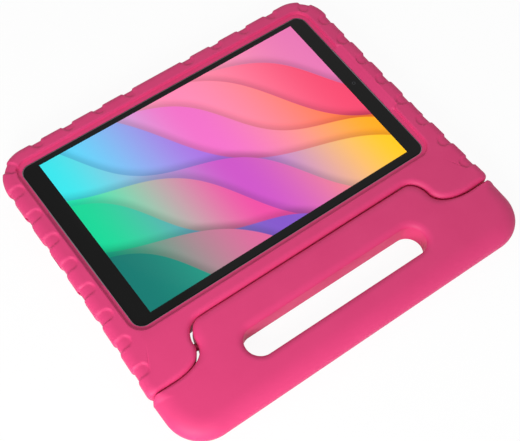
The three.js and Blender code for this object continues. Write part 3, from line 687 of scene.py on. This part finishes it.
def makeCaseShell(name, values, parting):
    outline, side = caseOutline(values, parting)
    normals = rollWays(outline)
    rollStart = outline[:, :2] - normals * outline[:, 2:3]
    shift = np.array(values["lipShift"])
    foot, out = roundedRectFoot(rollStart - shift, values["lipLength"], values["lipWidth"],
                                values["lipCorner"])
    onShortSide = np.abs(out[:, 0]) > 0.999
    scoopEnd = values["scoopHalf"] + values["scoopSpread"]
    scoop = np.where(onShortSide, 1 - smooth(np.abs(foot[:, 1]), values["scoopHalf"], scoopEnd), 0)
    onLeft = foot[:, 0] < 0
    lipBack, reach = np.where(onLeft, *values["scoopBack"]), np.where(onLeft, *values["scoopReach"])
    lip = lipBack * scoop
    ledge = values["ledge"] * (1 - scoop) + (lipBack + values["scoopLedge"]) * scoop
    ridge = values["ridge"] * (1 - scoop) + reach * scoop
    pocketHalf = np.array([
        (housingHigh.x - housingLow.x) / mm - values["lipLength"],
        (housingHigh.y - housingLow.y) / mm - values["lipWidth"],
    ]) / 2 + values["pocketGap"]
    pocket = foot + out * pocketHalf
    foot = foot + shift
    floor = fromFrame(housingLow)[2] - values["pocketGap"]
    lipTop, front, back = values["lipTop"], foamFront, foamBack

    def at(distance, height):
        return level(foot + out * np.broadcast_to(distance, len(foot))[:, None], height)
    rings = [level(pocket, floor), level(pocket, values["lipUnder"]), at(lip, values["lipUnder"])]
    rings += [at(lip, lipTop - 0.2), at(lip + 0.1, lipTop - 0.03), at(lip + 0.3, lipTop)]
    rings += [at(ledge - 0.1, lipTop), at(ledge, lipTop + 0.03)]
    rise, run = front - lipTop, ridge - ledge
    ridgeRound = values["ridgeRound"]
    for t in (0.25, 0.5, 0.7):
        rings.append(at(ledge + run * t, lipTop + rise * t))
    for t in (0.0, 0.2, 0.4, 0.6, 0.8, 1.0):  # the ridge rounds over from the riser to the land
        a = t * math.pi / 2
        rings.append(at(ridge - ridgeRound * 0.5 + ridgeRound * 1.2 * math.sin(a) * t ** 0.3,
                        front - ridgeRound * 0.55 * (1 - math.sin(a))))
    ridgeEdge = foot + out * (ridge + ridgeRound * 0.75)[:, None]
    rings += landRings(ridgeEdge, rollStart, front)
    steps = quarterSteps(9)
    rings += frontRoll(outline, normals, front, steps)
    low = backRoll(outline, normals, back, steps[::-1])
    flankTop, flankLow = rings[-1], low[0]
    rings += [flankTop * (1 - t) + flankLow * t for t in (0.33, 0.67)]
    rings += low
    backStart = outline[:, :2] - normals * outline[:, 4:5]
    inset = values["backInset"]
    backFoot = roundedRectFoot(backStart, values["lipLength"] - inset, values["lipWidth"] - inset,
                               values["backCorner"])[0]
    rings += landRings(backFoot, backStart, back, 1.2, 5)[::-1]
    return facingOut(skinOf(name, rings)), side


def recessLines(values, shell, side):
    lines = []
    radius, beyond = values["width"] / 2, values["beyond"]
    for i in range(values["sideCount"]):
        y = values["sideFirst"] - i * values["sidePitch"]
        x = np.interp(y, side[:, 1], side[:, 0])
        lines += [((s * (x - values["reach"] + radius), y), (s * (x + beyond), y)) for s in (1, -1)]
    topY = caseHigh[1] - shell["softness"]
    for i in range(-values["topEachSide"], values["topEachSide"] + 1):
        x = i * values["topPitch"]
        if i != 0:  # the middle of the long edge is plain
            lines.append(((x, topY - values["topReach"] + radius), (x, topY + beyond)))
    corner = shell["topCorner"]
    for s in (1, -1):
        aim = np.array([s, 1]) / math.sqrt(2)
        centre = np.array([s * (shell["sideAtTop"] - corner), topY - corner])
        lines.append((centre + aim * (corner - values["reach"] + radius), centre + aim * (corner + beyond)))
    points = np.array([p for line in lines for p in line], float)
    flat = toFrame(level(points, 0))
    flat[:, 2] = 0
    return newPiece("recessLines", flat.tolist(), [], [(2 * i, 2 * i + 1) for i in range(len(lines))])


# Geometry Nodes press a round-ended recess into the foam along every line
def recessTree(helper):
    tree = bpy.data.node_groups.new("gripRecesses", "GeometryNodeTree")
    sockets = [("Geometry", "NodeSocketGeometry"), ("Depth", "NodeSocketFloat"), ("Width", "NodeSocketFloat"),
               ("Soft edge", "NodeSocketFloat"), ("Foam", "NodeSocketMaterial")]
    for name, kind in sockets:
        tree.interface.new_socket(name, in_out="INPUT", socket_type=kind)
    tree.interface.new_socket("Geometry", in_out="OUTPUT", socket_type="NodeSocketGeometry")
    given = addNode(tree, "NodeGroupInput").outputs
    lines = addNode(tree, "GeometryNodeObjectInfo", {"Object": helper})
    position = addNode(tree, "GeometryNodeInputPosition").outputs[0]
    place = addNode(tree, "ShaderNodeSeparateXYZ", {"Vector": position})
    plan = addNode(tree, "ShaderNodeCombineXYZ", {"X": place.outputs["X"], "Y": place.outputs["Y"]})
    near = addNode(tree, "GeometryNodeProximity", {0: lines.outputs["Geometry"], 2: plan.outputs[0]},
                   target_element="EDGES")
    half = addMath(tree, "MULTIPLY", given["Width"], 0.5)
    outer = addMath(tree, "MULTIPLY_ADD", given["Soft edge"], 0.5, half)
    inner = addMath(tree, "SUBTRACT", outer, given["Soft edge"])
    press = addNode(tree, "ShaderNodeMapRange", {
        "Value": near.outputs["Distance"], "From Min": outer, "From Max": inner,
    }, interpolation_type="SMOOTHSTEP")
    depth = addMath(tree, "MULTIPLY", press.outputs["Result"], given["Depth"])
    push = addNode(tree, "ShaderNodeVectorMath", {
        0: addNode(tree, "GeometryNodeInputNormal").outputs[0], 3: addMath(tree, "MULTIPLY", depth, -1.0),
    }, operation="SCALE")
    moved = addNode(tree, "GeometryNodeSetPosition", {
        "Geometry": given["Geometry"], "Offset": push.outputs[0],
    })
    real = addNode(tree, "GeometryNodeRealizeInstances", {"Geometry": moved.outputs[0]})
    finished = addNode(tree, "GeometryNodeSetMaterial", {
        "Geometry": real.outputs[0], "Material": given["Foam"],
    })
    addNode(tree, "NodeGroupOutput", {"Geometry": finished.outputs[0]})
    return tree


def pressRecesses(piece, helper, values):
    modifier = piece.modifiers.new("gripRecesses", "NODES")
    modifier.node_group = recessTree(helper)
    wanted = {"Depth": values["depth"] * mm, "Width": values["width"] * mm,
              "Soft edge": values["softEdge"] * mm, "Foam": foamMaterial}
    for item in modifier.node_group.interface.items_tree:
        if item.in_out == "INPUT" and item.name in wanted:
            modifier[item.identifier] = wanted[item.name]
    settle(piece)
    bpy.data.objects.remove(helper)


# Openings through the foam for the ports, speakers, keys and rear camera, in mm. Keys and sides are
# (middle, length, height) and the window is (x, y, radius).
foamOpenings = {
    "edgeHeight": -3.9,
    "depth": 36,
    "outside": 134.6,
    "keys": (83.25, 46.5, 6),
    "keysY": 86.7,
    "sides": [(1, 13.5, 6), (56.5, 8.6, 6), (34.25, 15, 3.6), (-32.5, 15, 3.6)],
    "window": (107, 59, 11),
    "windowFlare": 3,
    "windowRound": 4,
}


def openingTools(values):
    x, length, height = values["keys"]
    place = (x, values["keysY"], values["edgeHeight"])
    tools = [pillTool("keyCut", place, length, height, values["depth"], "y")]
    for y, length, height in values["sides"]:
        place = (-values["outside"], y, values["edgeHeight"])
        tools.append(pillTool("sideCut", place, length, height, values["depth"], "x"))
    x, y, radius = values["window"]
    flare, deep = values["windowFlare"], values["windowRound"]

    def circle(size, height):
        return level(arcRun((x, y), size, 0, 357, 119), height)
    rings = [circle(radius + flare, foamBack - 1)]
    rings += [circle(radius + flare * (1 - math.sin(a)), foamBack + deep * (1 - math.cos(a)))
              for a in quarterSteps(8)]
    rings.append(circle(radius, fromFrame(housingLow)[2] + 1))
    tools.append(facingOut(skinOf("cameraWindow", rings)))
    return tools


# Round knuckles about the hinge line: what is outside them goes, so that the handle can fold back
def foldReliefTools(values):
    edge = beside(partingRun(values), -1, values)
    down = values["lobeY"] - values["hingeY"]
    reach = halfThick + values["foldClearance"]
    turn = math.radians(values["foldAngle"] - 90)
    low = -halfThick - 2
    section = np.array([
        (0, 0), (down - values["foldMargin"], 0), (down - values["foldMargin"], low),
        ((reach - low * math.sin(turn)) / math.cos(turn), low),
        (reach * math.cos(turn), reach * math.sin(turn)),
    ]) + np.array([values["hingeY"], hingeZ])
    knuckle = edge[(edge[:, 1] < values["hingeY"]) & (edge[:, 0] < values["lobeStart"])]
    profile = [(values["hingeX"] + values["hingeGap"] / 2, 0)]
    profile += [(x, values["hingeY"] - y) for x, y in knuckle]
    profile += [(values["lobeStart"] + 2, profile[-1][1]), (values["lobeStart"] + 2, 0)]
    axis = (0, values["hingeY"], hingeZ)
    tools = []
    for s in (1, -1):
        ends = (values["tongueHalf"] + values["foldEnds"][0], values["lobeStart"] + values["foldEnds"][1])
        rings = [np.column_stack([np.full(len(section), s * x), section]) for x in ends]
        block = facingOut(skinOf("foldRelief", rings))
        dome = turned("lobeKnuckle", [(s * x, radius) for x, radius in profile], axis, 96)
        tools.append(cut(block, [dome]))
    return tools


def socketTools(values):
    start = values["hingeX"] - values["hingeGap"] / 2
    face = values["hingeX"] + values["hingeGap"] / 2 + values["socketSet"] - values["socketPlay"]
    profile = [
        (start, 0), (start, values["axleBore"]), (face, values["axleBore"]), (face, values["socketBore"]),
        (face + values["socketLength"], values["socketBore"]), (face + values["socketLength"], 0),
    ]
    axis = (0, values["hingeY"], hingeZ)
    return [turned("socketBore", [(s * x, radius) for x, radius in profile], axis, 48) for s in (1, -1)]


caseBody, caseSide = makeCaseShell("case_shell", caseShell, partingLine)
pressRecesses(caseBody, recessLines(gripRecess, caseShell, caseSide), gripRecess)
cut(caseBody, [joined("foldReliefs", foldReliefTools(partingLine))])
cut(caseBody, [joined("openings", openingTools(foamOpenings) + socketTools(partingLine))])
softShading(caseBody)
finishPiece(caseBody, "case", "foam", foamMaterial, "case_body")
print("case shell made:", len(caseBody.data.vertices), "points")


# Handle, in mm
carryHandle = {
    "corner": 26.5,
    "shoulder": 4,
    "slotHalf": 74,
    "slotTop": -114.4,
    "slotBottom": -135.9,
    "slotFrontRoll": (5.5, 3.5),
    "slotBackRoll": (2, 2),
    "outerRoll": [14, 8, 11, 11.3],
    "tongueRoll": [6, 2.2, 8, 8],
    "bendRoll": [7, 3.2, 8, 8],
    "shoulderRoll": [3, 2, 3, 3],
    "shoulderLean": (1, 0.3),
    "leanLength": 10,
    "softness": 0.3,
    "settleTurn": -0.25,
    "settleShift": (0.4, -0.1),
    "step": 0.9,
    "straightStep": 2.5,
}


def handleOutline(values, parting):
    halfX, bottomY = handleHigh[0] - values["softness"], handleLow[1] + values["softness"]
    corner, shoulder = values["corner"], values["shoulder"]
    edge = beside(partingRun(parting), 1, parting)
    shoulderY = edge[-1, 1]
    sideTop, lean = shoulderY - shoulder, values["shoulderLean"]
    leanStart = sideTop - values["leanLength"]
    half = joinRuns(
        withRoll(lineRun((0, bottomY), (halfX - corner, bottomY), 40), values["outerRoll"]),
        withRoll(arcRun((halfX - corner, bottomY + corner), corner, -90, 0, 90), values["outerRoll"]),
        withRoll(lineRun((halfX, bottomY + corner), (halfX, leanStart)), values["outerRoll"]),
        withRoll(lineRun((halfX, leanStart), (halfX, sideTop), 20),
                 values["outerRoll"], None, lean, (0, 1)),
        withRoll(arcRun((halfX - shoulder, sideTop), shoulder, 0, 90, 20),
                 values["outerRoll"], values["shoulderRoll"], lean, (1, 1)),
        withRoll(lineRun((halfX - shoulder, shoulderY), edge[-1], 16),
                 values["shoulderRoll"], None, lean, (1, 0)),
        bendRolls(edge, values["tongueRoll"], values["bendRoll"], values["shoulderRoll"], parting)[::-1],
    )

    def spacing(point):
        straight = abs(point[0]) < parting["tongueHalf"] - 6
        return values["straightStep"] if straight else values["step"]
    return mirroredLoop(resample(half, spacing))


def fillFlat(mesh, height):  # closes the flat land between the outer edge and the slot
    work = bmesh.new()
    work.from_mesh(mesh)
    landZ = toFrame([(0, 0, height)])[0][2]
    edges = [e for e in work.edges if e.is_boundary and abs(e.verts[0].co.z - landZ) < 1e-6]
    bmesh.ops.triangle_fill(work, edges=edges, use_beauty=True, normal=(0, 0, 1))
    bmesh.ops.recalc_face_normals(work, faces=work.faces)
    work.to_mesh(mesh)
    work.free()


def makeHandle(name, values, parting):
    outline = handleOutline(values, parting)
    normals = rollWays(outline)
    radius = (values["slotTop"] - values["slotBottom"]) / 2
    centre = np.array([0, (values["slotTop"] + values["slotBottom"]) / 2])
    half = values["slotHalf"] - radius
    slot = np.vstack([
        arcRun(centre + (half, 0), radius, -90, 90, 60), arcRun(centre - (half, 0), radius, 90, 270, 60),
    ])
    out = sideNormals(slot)
    frontWide, frontDeep = values["slotFrontRoll"]
    backWide, backDeep = values["slotBackRoll"]
    front, back = foamFront, foamBack
    steps = quarterSteps(10)
    outer = frontRoll(outline, normals, front, steps)
    low = backRoll(outline, normals, back, steps[::-1])
    outer += [(outer[-1] + low[0]) / 2] + low
    inner = [level(slot + out * frontWide * (1 - math.sin(a)), front - frontDeep * (1 - math.cos(a)))
             for a in steps]
    inner += [level(slot + out * backWide * (1 - math.sin(a)), back + backDeep * (1 - math.cos(a)))
              for a in steps[::-1]]
    turn = math.radians(values["settleTurn"])
    pivot = np.array([0, parting["lobeY"]])
    spin = np.array([[math.cos(turn), math.sin(turn)], [-math.sin(turn), math.cos(turn)]])
    for ring in outer + inner:  # the handle sits a little askew in the play of its hinge
        ring[:, :2] = (ring[:, :2] - pivot) @ spin + pivot + np.array(values["settleShift"])
    piece = joined(name, [
        skinOf("handleOutside", outer, capped=False), skinOf("handleSlot", inner, capped=False),
    ])
    fillFlat(piece.data, front)
    fillFlat(piece.data, back)
    return facingOut(piece)


def behindTongueTool(values):
    edge = beside(partingRun(values), 1, values)
    knuckle = edge[(edge[:, 1] > values["hingeY"]) & (edge[:, 0] > 0)]
    tip = values["hingeX"] - values["hingeGap"] / 2
    right = [(x, y - values["hingeY"]) for x, y in knuckle]
    left = [(-x, radius) for x, radius in right][::-1]
    profile = [(-tip, 0)] + left + right + [(tip, 0)]
    dome = turned("tongueKnuckle", profile, (0, values["hingeY"], hingeZ), 128)
    reach = values["hingeX"] + 6
    low = (-reach, values["hingeY"], foamBack - 1)
    high = (reach, values["tongueY"] + values["foldMargin"], hingeZ)
    return cut(boxTool("behindTongue", low, high), [dome])


handlePiece = makeHandle("carry_handle", carryHandle, partingLine)
cut(handlePiece, [behindTongueTool(partingLine)])
softShading(handlePiece)
finishPiece(handlePiece, "handle", "foam", foamMaterial, "handle")
print("handle made:", len(handlePiece.data.vertices), "points")


# Cover glass with a ground edge, in mm
glassEdge = {
    "corner": 7.5,
    "frontRound": 0.35,
    "backBevel": 0.15,
}


def makeCoverGlassPiece(name, values):
    length, width, thick = ((glassHigh[k] - glassLow[k]) / mm for k in range(3))
    outline = roundedRect(length, width, values["corner"], 24)
    normals = sideNormals(outline)
    edge, bevel = values["frontRound"], values["backBevel"]
    rings = [level(outline - normals * bevel, -thick), level(outline, -thick + bevel)]
    for a in quarterSteps(6):
        rings.append(level(outline - normals * edge * (1 - math.cos(a)), -edge + edge * math.sin(a)))
    return softShading(facingOut(skinOf(name, rings)), 60)


glassPiece = makeCoverGlassPiece("cover_glass", glassEdge)
finishPiece(glassPiece, "case", "cover_glass", glassMaterial, "tablet_glass")


# Polished edge of the metal shell, which stands just proud round the glass, in mm. Its lighter, pink-tinged
# grey is a painted highlight.
shellRim = {
    "inFromLip": 0.55,
    "outFromLip": 0.5,
    "foot": 0.01,
    "bevel": 0.12,
    "proud": 0.22,
}


def makeShellRim(name, values, shell):
    outline = roundedRect(shell["lipLength"], shell["lipWidth"], shell["lipCorner"], 16)
    out, shift = sideNormals(outline), np.array(shell["lipShift"])
    inner, outer = -values["inFromLip"], values["outFromLip"]
    foot, proud = values["foot"], values["proud"]
    profile = [(inner, foot), (inner, proud * 0.5), (inner + values["bevel"], proud)]
    profile += [(outer, proud), (outer, foot)]
    rings = [level(outline + out * a + shift, z) for a, z in profile]
    return facingOut(skinOf(name, rings, capped=False, wrap=True))


rimPiece = makeShellRim("shell_rim", shellRim, caseShell)
finishPiece(rimPiece, "case", "housing_metal", rimPaintedHighlightMaterial)

# The pieces that stay as the solids give them
nodeFinishes = {
    housingMaterial: ("tablet_housing", "rear_camera_ring", "power_key", "volume_key"),
    panelMaterial: ("display_panel",),
    cellMaterial: ("battery",),
    boardMaterial: ("main_board",),
    lensMaterial: ("front_camera", "rear_camera_lens"),
    blackPlasticMaterial: ("rear_camera_module", "audio_socket", "speaker_upper", "speaker_lower"),
    steelMaterial: ("usb_socket",),
    hingeMaterial: ("hinge_socket_right", "hinge_socket_left", "hinge_axle_right", "hinge_axle_left"),
    rubberMaterial: ("hinge_friction_ring_right", "hinge_friction_ring_left"),
}
for finish, nodeNames in nodeFinishes.items():
    for nodeName in nodeNames:
        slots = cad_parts[nodeName].data.materials
        slots.clear()
        slots.append(finish)
print("tablet and hinge finished")


# Floor, light and camera
studio = {
    "floor": "#FFFFFF",
    "floorReach": 6.0,
    "floorHeight": -0.0002,
    "floorGlow": 0.94,
    "worldLight": 0.37,
    "keyPlace": (-0.62, -0.52, 0.44),
    "keySize": 0.4,
    "keyPower": 7.4,
    "fillPlace": (0.5, 0.6, 1.0),
    "fillSize": 1.0,
    "fillPower": 1.5,
}


def seenShare(tree):  # 1 where the camera sees a thing straight, in a reflection or through glass
    path = addNode(tree, "ShaderNodeLightPath").outputs
    straight = addMath(tree, "MAXIMUM", path["Is Camera Ray"], path["Is Glossy Ray"])
    return addMath(tree, "MAXIMUM", straight, path["Is Transmission Ray"])


def makeFloor(values):
    reach, under = values["floorReach"], values["floorHeight"]
    corners = [(-reach, -reach, under), (reach, -reach, under), (reach, reach, under), (-reach, reach, under)]
    floor = newPiece("floor", corners, [(0, 1, 2, 3)])
    material, tree, shader = newMaterial("paperFloor")
    shader.inputs["Base Color"].default_value = linear(values["floor"])
    shader.inputs["Roughness"].default_value = 0.9
    shader.inputs["Specular IOR Level"].default_value = 0.0
    share = addMath(tree, "MULTIPLY", seenShare(tree), values["floorGlow"])
    white = addNode(tree, "ShaderNodeEmission", {"Color": (1, 1, 1, 1), "Strength": 1.0})
    mixed = addNode(tree, "ShaderNodeMixShader", {0: share, 1: shader.outputs[0], 2: white.outputs[0]})
    tree.links.new(mixed.outputs[0], tree.nodes["Material Output"].inputs["Surface"])
    floor.data.materials.append(material)


def makeWorld(values):
    world = bpy.data.worlds.new("studio")
    bpy.context.scene.world = world
    world.use_nodes = True
    tree = world.node_tree
    background = tree.nodes["Background"]
    strength = addNode(tree, "ShaderNodeMapRange", {
        "Value": seenShare(tree), "To Min": values["worldLight"], "To Max": 1.0,
    })
    background.inputs["Color"].default_value = (1, 1, 1, 1)
    tree.links.new(strength.outputs["Result"], background.inputs["Strength"])


def makeLamp(name, place, size, power):
    data = bpy.data.lights.new(name, "AREA")
    data.shape = "DISK"
    data.size = size
    data.energy = power
    lamp = bpy.data.objects.new(name, data)
    lamp.location = place
    lamp.rotation_mode = "QUATERNION"
    lamp.rotation_quaternion = (-Vector(place)).to_track_quat("-Z", "Y")
    bpy.context.scene.collection.objects.link(lamp)


# The photograph's camera, fitted to the edges of the glass and of the picture
photoCamera = {
    "place": (-282.7, -354.8, 700.4),
    "right": (0.8013, -0.5956, 0.0560),
    "forward": (0.3368, 0.3719, -0.8650),
    "lens": 82.87,
}


def makeCamera(values):
    data = bpy.data.cameras.new("camera")
    data.lens = values["lens"]
    data.sensor_width = 36
    data.clip_start = 0.01
    camera = bpy.data.objects.new("camera", data)
    forward = Vector(values["forward"]).normalized()
    right = Vector(values["right"])
    right = (right - forward * right.dot(forward)).normalized()
    up = right.cross(forward)
    turn = Matrix((right, up, -forward)).transposed()
    camera.matrix_world = Matrix.Translation(toFrame([values["place"]])[0].tolist()) @ turn.to_4x4()
    bpy.context.scene.collection.objects.link(camera)
    bpy.context.scene.camera = camera


makeFloor(studio)
makeWorld(studio)
makeLamp("keyLamp", studio["keyPlace"], studio["keySize"], studio["keyPower"])
makeLamp("fillLamp", studio["fillPlace"], studio["fillSize"], studio["fillPower"])
makeCamera(photoCamera)
bpy.context.scene.view_settings.view_transform = "Standard"
print("studio made")
